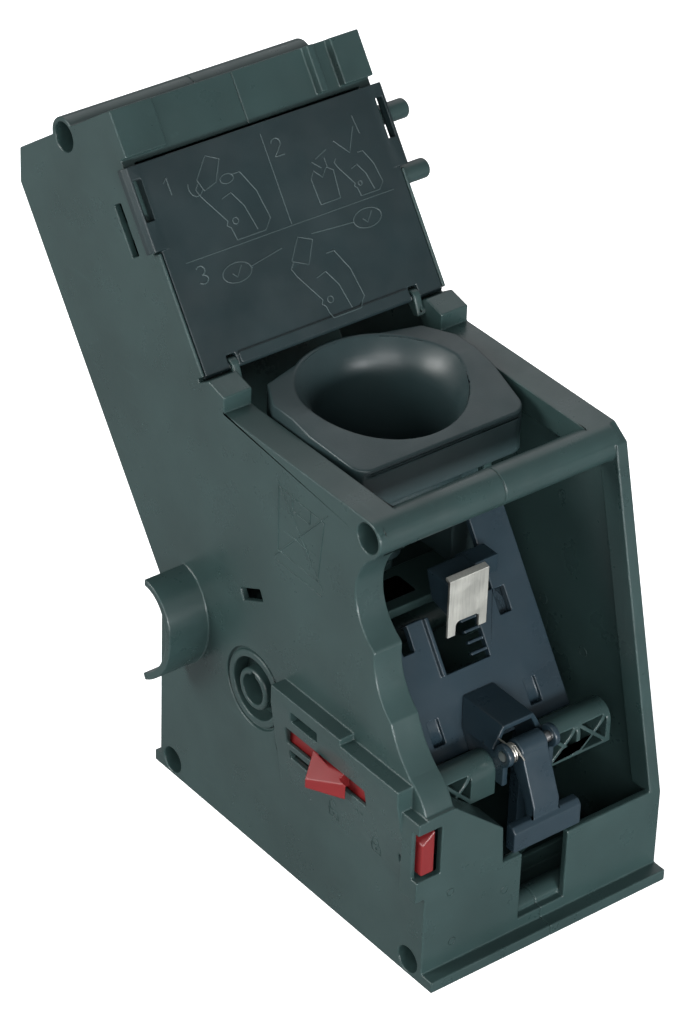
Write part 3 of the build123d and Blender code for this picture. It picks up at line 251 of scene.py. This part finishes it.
def moulded_plastic(name, colour, rough, grain, grain_depth, wear, edge=0.35):
    """Moulded plastic: fine grain, cloudy tone, handling marks, faint scuffs and rubbed edges."""
    finish = Finish(name)
    shader = finish.shader
    shader.inputs["Specular IOR Level"].default_value = 0.45
    normal, edge_share = finish.rounded_edge(edge)
    cloud = finish.noise(34, 4.0)
    clouded = finish.spread(cloud, 0.35, 0.65, 0.0, 1.0)
    tone = finish.blend(clouded, lighter(colour, 0.86), lighter(colour, 1.14))
    speck = finish.spread(finish.noise(0.55, 1.0), 0.70, 0.82, 0.0, 0.14)
    tone = finish.blend(speck, tone, lighter(colour, 2.2))
    scuffs = finish.spread(finish.noise(2.2, 2.0, 0.5, (1.0, 0.09, 1.4)), 0.66, 0.76, 0.0, 0.14)
    tone = finish.blend(scuffs, tone, lighter(colour, 2.0))
    patches = finish.spread(finish.noise(5.0, 5.0), 0.40, 0.62, 0.0, wear)
    tone = finish.blend(finish.times(edge_share, patches), tone, lighter(colour, 3.0))
    finish.join(tone, shader.inputs["Base Color"])
    marks = finish.noise(13, 6.0, 0.62)
    finish.join(finish.spread(marks, 0.32, 0.68, rough - 0.07, rough + 0.09), shader.inputs["Roughness"])
    grained = finish.bump(finish.noise(grain, 2.0), grain_depth, normal)
    wavy = finish.bump(finish.noise(18, 1.0), 0.05, grained)
    finish.join(wavy, shader.inputs["Normal"])
    return finish.material


def brushed_steel(name, colour, rough, along):
    """Rolled steel strip with fine draw lines, a warm cast and dull patches."""
    finish = Finish(name)
    shader = finish.shader
    shader.inputs["Metallic"].default_value = 1.0
    lines = finish.noise(0.5, 3.0, 0.6, along)
    patches = finish.noise(6, 4.0)
    drawn = finish.spread(lines, 0.3, 0.7, 0.0, 1.0)
    tone = finish.blend(drawn, lighter(colour, 0.84), lighter(colour, 1.06))
    dulled = finish.spread(patches, 0.45, 0.7, 0.0, 0.4)
    finish.join(finish.blend(dulled, tone, lighter(colour, 0.72)), shader.inputs["Base Color"])
    finish.join(finish.spread(patches, 0.3, 0.7, rough - 0.06, rough + 0.12), shader.inputs["Roughness"])
    finish.join(finish.bump(lines, 0.012), shader.inputs["Normal"])
    return finish.material


def seal_rubber():
    """Soft black ring rubber with a greasy sheen."""
    finish = Finish("seal_rubber")
    shader = finish.shader
    shader.inputs["Sheen Weight"].default_value = 0.25
    tone = finish.spread(finish.noise(4, 4.0), 0.3, 0.7, 0.0, 1.0)
    greased = finish.blend(tone, (0.010, 0.010, 0.010), (0.022, 0.022, 0.021))
    finish.join(greased, shader.inputs["Base Color"])
    finish.join(finish.spread(finish.noise(7, 3.0), 0.3, 0.7, 0.45, 0.7), shader.inputs["Roughness"])
    finish.join(finish.bump(finish.noise(0.3, 2.0), 0.02), shader.inputs["Normal"])
    return finish.material


def floor_paper():
    """White background paper, which looks darker to the unit than to the camera."""
    finish = Finish("floor_paper")
    tone = finish.spread(finish.noise(400, 2.0), 0.3, 0.7, 0.0, 1.0)
    white = finish.blend(tone, (0.90, 0.905, 0.91), (0.93, 0.93, 0.93))
    seen = finish.node("ShaderNodeLightPath").outputs["Is Camera Ray"]
    finish.join(finish.blend(seen, (0.30, 0.31, 0.32), white), finish.shader.inputs["Base Color"])
    finish.join(finish.bump(finish.noise(1.5, 3.0), 0.03), finish.shader.inputs["Normal"])
    finish.shader.inputs["Roughness"].default_value = 0.85
    finish.shader.inputs["Emission Color"].default_value = (1.0, 1.0, 1.0, 1)
    finish.join(finish.times(seen, FLOOR_GLOW), finish.shader.inputs["Emission Strength"])
    return finish.material


finishes = {
    "dark_plastic": moulded_plastic("dark_plastic", (0.020, 0.039, 0.038), 0.31, 0.45, 0.018, 0.6, 0.55),
    "cover_plastic": moulded_plastic("cover_plastic", (0.009, 0.018, 0.020), 0.38, 0.40, 0.012, 0.4),
    # Paler copy of the cover plastic for the raised guide lines, a painted highlight where the ridges catch
    # the light.
    "ridge_highlight_plastic": moulded_plastic("ridge_highlight_plastic", (0.030, 0.048, 0.050), 0.45, 0.40, 0.01, 0.0, 0.1),
    "chamber_plastic": moulded_plastic("chamber_plastic", (0.017, 0.031, 0.033), 0.38, 0.50, 0.022, 0.3, 0.5),
    "blue_plastic": moulded_plastic("blue_plastic", (0.012, 0.023, 0.031), 0.31, 0.60, 0.015, 0.35),
    "red_plastic": moulded_plastic("red_plastic", (0.13, 0.009, 0.010), 0.36, 0.50, 0.015, 0.25),
    "steel": brushed_steel("steel", (0.50, 0.50, 0.49), 0.30, (1, 1, 0.05)),
    "clip_steel": brushed_steel("clip_steel", (0.62, 0.62, 0.57), 0.50, (1, 1, 0.06)),
    "spring_steel": brushed_steel("spring_steel", (0.60, 0.59, 0.54), 0.28, (0.05, 1, 1)),
    "seal_rubber": seal_rubber(),
}


# ---------------------------------------------------------------- rounded copies of the moulded pieces
def clean_mesh(node, name):
    """A node's mesh with its triangles joined, apart from broad faces full of holes."""
    shape = bmesh.new()
    shape.from_mesh(nodes[node].data)
    bmesh.ops.remove_doubles(shape, verts=shape.verts, dist=MERGE_GAP * MM)
    bmesh.ops.dissolve_limit(shape, angle_limit=FLAT_ANGLE, verts=shape.verts, edges=shape.edges)
    broad = [face for face in shape.faces if len(face.verts) > BROAD_FACE]
    bmesh.ops.triangulate(shape, faces=broad)
    shape.verts.index_update()
    corners = [vert.co.copy() for vert in shape.verts]
    faces = [[vert.index for vert in face.verts] for face in shape.faces]
    shape.free()
    mesh = bpy.data.meshes.new(name)
    mesh.from_pydata(corners, [], faces)
    mesh.validate()
    return mesh


def rounded_copy(node, body, slot, radius):
    """Stand-in for a moulded piece, with every sharp edge rounded as a mould leaves it."""
    name = node + "_moulding"
    piece = linked(name, clean_mesh(node, name))
    piece.data.shade_smooth()
    bevel = piece.modifiers.new("mould_radius", "BEVEL")
    bevel.width = radius * MM
    bevel.segments = ROUND_STEPS
    bevel.limit_method = "ANGLE"
    bevel.angle_limit = EDGE_ANGLE
    bevel.use_clamp_overlap = False
    bevel.loop_slide = False
    bevel.miter_outer = "MITER_ARC"
    evened = piece.modifiers.new("even_shading", "WEIGHTED_NORMAL")
    evened.weight = FACE_WEIGHT
    baked = bpy.data.meshes.new_from_object(piece.evaluated_get(bpy.context.evaluated_depsgraph_get()))
    piece.modifiers.clear()
    piece.data = baked
    low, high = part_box(node)
    for vert in baked.vertices:
        vert.co = [min(max(value, least), most) for value, least, most in zip(vert.co, low, high)]
    baked.name = name
    baked.materials.clear()
    baked.materials.append(finishes[slot])
    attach(piece, body)
    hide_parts(node)
    return piece


MOULDINGS = [
    ("left_housing", "housing", "dark_plastic", 0.35),
    ("right_housing", "housing", "dark_plastic", 0.35),
    ("base_tray", "housing", "dark_plastic", 0.3),
    ("puck_chute", "housing", "blue_plastic", 0.25),
    ("hood", "housing", "blue_plastic", 0.35),
    ("left_beam", "housing", "dark_plastic", 0.2),
    ("right_beam", "housing", "dark_plastic", 0.2),
    ("upper_carrier", "housing", "dark_plastic", 0.4),
    ("spring_clip", "housing", "clip_steel", 0.15),
    ("cover", "cover", "cover_plastic", 0.3),
    ("brew_chamber", "chamber", "chamber_plastic", 0.5),
    ("cradle_left_arm", "cradle", "dark_plastic", 0.4),
    ("cradle_right_arm", "cradle", "dark_plastic", 0.4),
    ("cradle_bridge", "cradle", "dark_plastic", 0.4),
    ("drive_hub", "cradle", "dark_plastic", 0.25),
    ("drain_lever", "lever", "blue_plastic", 0.4),
    ("lock_slider", "slider", "red_plastic", 0.4),
]


# ---------------------------------------------------------------- raised lines and marks
def tree_inputs(tree, sockets):
    """Named inputs of a geometry tree, as {name: identifier}."""
    made = {}
    for name, kind, value in sockets:
        socket = tree.interface.new_socket(name, in_out="INPUT", socket_type=kind)
        if value is not None:
            socket.default_value = value
        made[name] = socket.identifier
    return made


def moulded_line_tree():
    """Tree that runs a low round ridge along every edge of a drawing."""
    tree = bpy.data.node_groups.new("moulded_lines", "GeometryNodeTree")
    inputs = tree_inputs(tree, [
        ("Drawing", "NodeSocketGeometry", None),
        ("Half width", "NodeSocketFloat", 0.2 * MM),
        ("Sides", "NodeSocketInt", RIDGE_SIDES),
        ("Finish", "NodeSocketMaterial", None),
    ])
    tree.interface.new_socket("Ridges", in_out="OUTPUT", socket_type="NodeSocketGeometry")
    entry = tree.nodes.new("NodeGroupInput")
    path = tree.nodes.new("GeometryNodeMeshToCurve")
    ring = tree.nodes.new("GeometryNodeCurvePrimitiveCircle")
    ridge = tree.nodes.new("GeometryNodeCurveToMesh")
    ridge.inputs["Fill Caps"].default_value = True
    real = tree.nodes.new("GeometryNodeRealizeInstances")
    coat = tree.nodes.new("GeometryNodeSetMaterial")
    leave = tree.nodes.new("NodeGroupOutput")
    for source, target in (
        (entry.outputs["Drawing"], path.inputs[0]),
        (entry.outputs["Half width"], ring.inputs["Radius"]),
        (entry.outputs["Sides"], ring.inputs["Resolution"]),
        (path.outputs[0], ridge.inputs["Curve"]),
        (ring.outputs["Curve"], ridge.inputs["Profile Curve"]),
        (ridge.outputs[0], real.inputs[0]),
        (real.outputs[0], coat.inputs["Geometry"]),
        (entry.outputs["Finish"], coat.inputs["Material"]),
        (coat.outputs[0], leave.inputs[0]),
    ):
        tree.links.new(source, target)
    return tree, inputs


def pin_mark_tree():
    """Tree that sets a shallow ring, the mark of an ejector pin, on every point."""
    tree = bpy.data.node_groups.new("pin_marks", "GeometryNodeTree")
    inputs = tree_inputs(tree, [
        ("Places", "NodeSocketGeometry", None),
        ("Ring radius", "NodeSocketFloat", 2.2 * MM),
        ("Ridge", "NodeSocketFloat", 0.12 * MM),
        ("Facing", "NodeSocketRotation", None),
        ("Finish", "NodeSocketMaterial", None),
    ])
    tree.interface.new_socket("Marks", in_out="OUTPUT", socket_type="NodeSocketGeometry")
    entry = tree.nodes.new("NodeGroupInput")
    ring = tree.nodes.new("GeometryNodeCurvePrimitiveCircle")
    ring.inputs["Resolution"].default_value = 24
    section = tree.nodes.new("GeometryNodeCurvePrimitiveCircle")
    section.inputs["Resolution"].default_value = 6
    mark = tree.nodes.new("GeometryNodeCurveToMesh")
    copies = tree.nodes.new("GeometryNodeInstanceOnPoints")
    real = tree.nodes.new("GeometryNodeRealizeInstances")
    coat = tree.nodes.new("GeometryNodeSetMaterial")
    leave = tree.nodes.new("NodeGroupOutput")
    for source, target in (
        (entry.outputs["Ring radius"], ring.inputs["Radius"]),
        (entry.outputs["Ridge"], section.inputs["Radius"]),
        (ring.outputs["Curve"], mark.inputs["Curve"]),
        (section.outputs["Curve"], mark.inputs["Profile Curve"]),
        (entry.outputs["Places"], copies.inputs["Points"]),
        (mark.outputs[0], copies.inputs["Instance"]),
        (entry.outputs["Facing"], copies.inputs["Rotation"]),
        (copies.outputs[0], real.inputs[0]),
        (real.outputs[0], coat.inputs["Geometry"]),
        (entry.outputs["Finish"], coat.inputs["Material"]),
        (coat.outputs[0], leave.inputs[0]),
    ):
        tree.links.new(source, target)
    return tree, inputs


def grown(name, mesh, tree, inputs, values, body):
    """Run a geometry tree on a mesh and keep the result as a plain piece."""
    piece = linked(name, mesh)
    modifier = piece.modifiers.new("growth", "NODES")
    modifier.node_group = tree
    for key, value in values.items():
        modifier[inputs[key]] = value
    result = bpy.data.meshes.new_from_object(piece.evaluated_get(bpy.context.evaluated_depsgraph_get()))
    piece.modifiers.clear()
    piece.data = result
    result.name = name
    result.shade_smooth()
    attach(piece, body)
    return piece


class Face:
    """Flat drawing board on one side of a node. Strokes on it drop onto the node's surface."""

    def __init__(self, node, origin, across, up):
        self.origin = Vector(origin)
        self.across = Vector(across).normalized()
        self.up = Vector(up).normalized()
        self.out = self.across.cross(self.up)
        mesh = nodes[node].data
        self.surface = BVHTree.FromPolygons([vert.co for vert in mesh.vertices],
                                            [list(face.vertices) for face in mesh.polygons])

    def at(self, x, y):
        """Where a point of the board, in millimetres, meets the surface under it."""
        above = self.origin + (self.across * x + self.up * y + self.out * BOARD_HEIGHT) * MM
        hit = self.surface.ray_cast(above, -self.out, BOARD_REACH * MM)[0]
        return hit if hit is not None else above - self.out * BOARD_HEIGHT * MM


lines_tree, line_inputs = moulded_line_tree()
pins_tree, pin_inputs = pin_mark_tree()


def stroke_points(points):
    """A stroke with points added on its long runs."""
    filled = [points[0]]
    for (x0, y0), (x1, y1) in zip(points, points[1:]):
        length = ((x1 - x0) ** 2 + (y1 - y0) ** 2) ** 0.5
        parts = max(1, int(length / STEP))
        for part in range(1, parts + 1):
            share = part / parts
            filled.append((x0 + (x1 - x0) * share, y0 + (y1 - y0) * share))
    return filled


def drawing(name, face, strokes, body, slot, half_width=0.17, finish=None):
    corners, edges = [], []
    for stroke in strokes:
        run = [face.at(x, y) for x, y in stroke_points(stroke)]
        start = len(corners)
        corners.extend(run)
        edges.extend((start + i, start + i + 1) for i in range(len(run) - 1))
    mesh = bpy.data.meshes.new(name)
    mesh.from_pydata(corners, edges, [])
    values = {"Half width": half_width * MM, "Sides": RIDGE_SIDES, "Finish": finish or finishes[slot]}
    return grown(name, mesh, lines_tree, line_inputs, values, body)


def pin_marks(name, face, places, body, slot, radius=2.2, ridge=0.12):
    mesh = bpy.data.meshes.new(name)
    mesh.from_pydata([face.at(x, y) for x, y in places], [], [])
    turn = face.out.to_track_quat("Z", "Y").to_euler()
    values = {"Ring radius": radius * MM, "Ridge": ridge * MM, "Facing": turn, "Finish": finishes[slot]}
    return grown(name, mesh, pins_tree, pin_inputs, values, body)


def moved(strokes, x, y, scale=1.0):
    return [[(x + scale * px, y + scale * py) for px, py in stroke] for stroke in strokes]


def arc(x, y, rx, ry, start=0, end=360, steps=24):
    """Points along an oval arc, in degrees."""
    return [(x + rx * cos(radians(start + (end - start) * i / steps)),
             y + ry * sin(radians(start + (end - start) * i / steps))) for i in range(steps + 1)]


NUMERALS = {
    "1": [[(0.2, 3.6), (1.6, 5.0), (1.6, 0.0)]],
    "2": [[*arc(1.5, 3.6, 1.5, 1.4, 170, -40, 10), (0.0, 0.0), (3.2, 0.0)]],
    "3": [[*arc(1.4, 3.7, 1.4, 1.3, 150, -90, 10), *arc(1.4, 1.2, 1.6, 1.2, 90, -150, 12)]],
}
TICK = [[(-1.6, 0.1), (-0.4, -1.2), (2.0, 1.5)]]


def unit_outline():
    """Side view of the unit and its lid, about 21 wide and 20 high."""
    return [
        [(0.0, 0.0), (10.5, 0.0), (13.5, 3.0), (12.0, 12.0), (8.5, 19.0), (5.5, 19.0)],
        [(0.0, 0.0), (-0.6, 4.0), (-1.8, 5.0), (-1.0, 6.2), (-7.0, 15.5), (-8.0, 18.0), (-6.6, 19.5)],
        [(8.0, 1.0), (6.2, 9.0), (3.2, 14.0), (-0.5, 13.0)],
        arc(1.6, 5.6, 1.0, 1.0),
    ]


def cover_drawings():
    """Moulded guide on the cover: three numbered outline pictures between fine dividers."""
    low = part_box("cover")[0]
    face = Face("cover", (0, low.y, low.z), (1, 0, 0), (0, sin(LEAN), cos(LEAN)))
    # The raised lines take the paler plastic: a painted highlight on the ridges, not a colour of their own.
    pale = finishes["ridge_highlight_plastic"]
    lines = [[(-35.4, 32.3), (36.5, 32.3)], [(0.8, 32.6), (0.8, 59.0)]]
    drawing("cover_dividers", face, lines, "cover", "cover_plastic", 0.16, pale)
    marks = moved(NUMERALS["1"], -34.0, 51.0) + moved(NUMERALS["2"], 3.0, 51.6)
    marks += moved(NUMERALS["3"], -33.2, 25.4)
    drawing("cover_numerals", face, marks, "cover", "cover_plastic", 0.24, pale)
    first = moved(unit_outline(), -17.4, 33.6, 0.92)
    first += moved([[(0, 0), (5.0, 5.6), (9.0, 3.6), (5.6, -2.2), (1.2, -3.4), (0, 0)]], -23.4, 52.6)
    first += [arc(-24.6, 51.0, 2.2, 2.6, 150, 330, 12), arc(-14.2, 50.4, 2.2, 1.3)]
    drawing("cover_picture_1", face, first, "cover", "cover_plastic", 0.19, pale)
    second = moved([[(0, 7.5), (0.4, 0), (7.2, 0), (8.0, 8.0), (6.0, 9.4), (3.8, 7.0), (1.6, 9.6), (0, 7.5)]],
                   11.6, 35.0)
    second += [[(13.6, 47.0), (16.0, 44.6)], [(18.0, 47.0), (18.0, 44.0)], [(15.0, 47.4), (19.4, 49.0)]]
    second += moved(unit_outline(), 25.6, 33.6, 0.62)
    second += [[(22.6, 50.6), (26.6, 46.0), (30.4, 52.6)], [(31.2, 55.6), (31.8, 50.2)]]
    drawing("cover_picture_2", face, second, "cover", "cover_plastic", 0.19, pale)
    third = moved(unit_outline(), 3.2, 4.4, 0.92)
    third += moved([[(0, 0), (4.4, 5.8), (8.8, 3.8), (5.0, -2.4), (0, 0)]], -3.2, 23.0)
    third += [arc(-20.9, 25.3, 4.8, 2.7), arc(25.1, 27.3, 4.8, 2.7)]
    third += [[(-16.1, 25.6), (-4.8, 27.4)], [(5.8, 28.4), (20.3, 27.4)]]
    third += moved(TICK, -20.9, 25.3) + moved(TICK, 25.1, 27.3)
    drawing("cover_picture_3", face, third, "cover", "cover_plastic", 0.19, pale)


def padlock(shut):
    """Small padlock outline, its bow shut or swung open."""
    body = [[(-1.9, 0), (1.9, 0), (1.9, 3.0), (-1.9, 3.0), (-1.9, 0)], arc(0, 1.5, 0.4, 0.4, steps=8)]
    if shut:
        return body + [[(-1.3, 3.0), *arc(0, 4.2, 1.3, 1.4, 180, 0, 8), (1.3, 3.0)]]
    return body + [[(-1.3, 3.0), (-1.3, 4.6), *arc(0, 5.2, 1.3, 1.4, 180, 0, 8)]]


def side_marks():
    """Marks moulded on the left side, placed from the drive socket."""
    hub = middle("drive_hub")
    face = Face("left_housing", Vector((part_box("left_housing")[0].x, hub.y, hub.z)), (0, -1, 0), (0, 0, 1))
    panel = [
        [(9.5, 52.5), (9.0, 73.0), (29.0, 72.0), (27.0, 52.0), (9.5, 52.5)],
        [(8.0, 50.0), (30.5, 75.0)], [(30.0, 49.5), (8.0, 75.0)],
        [(12.0, 60.0), (25.5, 59.6)], [(15.0, 73.0), (15.4, 68.4), (23.0, 68.2), (23.0, 72.6)],
        [(9.5, 48.8), (29.0, 48.2)],
    ]
    drawing("side_panel_mark", face, panel, "housing", "dark_plastic", 0.19)
    locks = moved(padlock(False), 38.5, -20.5) + moved(padlock(True), 57.5, -20.5)
    locks += [[(50.0, -9.5), (53.0, -9.5)]]
    drawing("slider_lock_marks", face, locks, "housing", "dark_plastic", 0.14)


def mould_pins():
    """Ejector pin marks on the walls."""
    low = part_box("left_housing")[0]
    front = Face("left_housing", (0, low.y, 0), (1, 0, 0), (0, 0, 1))
    front_places = [(-33.5, 28.5), (-32.0, 10.6), (-14.0, 20.0)]
    pin_marks("front_wall_pins", front, front_places, "housing", "dark_plastic", 1.2)
    wall = Face("right_housing", (0.030, 0, 0), (0, -1, 0), (0, 0, 1))
    wall_places = [(26, 66), (44, 58), (31, 104)]
    pin_marks("right_wall_pins", wall, wall_places, "housing", "dark_plastic", 1.6, 0.08)


viewing_camera()
studio()
for node, body, slot, radius in MOULDINGS:
    rounded_copy(node, body, slot, radius)
cover_drawings()
side_marks()
mould_pins()

KEPT = {
    "housing_screws": "steel", "upper_piston": "chamber_plastic", "upper_seal": "seal_rubber",
    "upper_sieve": "steel", "upper_sieve_screw": "steel", "water_nozzle": "dark_plastic",
    "coffee_nozzle": "dark_plastic", "lever_pin": "steel", "lever_spring": "spring_steel",
    "drive_shaft": "dark_plastic", "lower_piston": "chamber_plastic", "lower_seal": "seal_rubber",
    "lower_sieve": "chamber_plastic", "lower_sieve_screw": "chamber_plastic",
}
for node, slot in KEPT.items():
    for material_slot in nodes[node].material_slots:
        material_slot.material = finishes[slot]
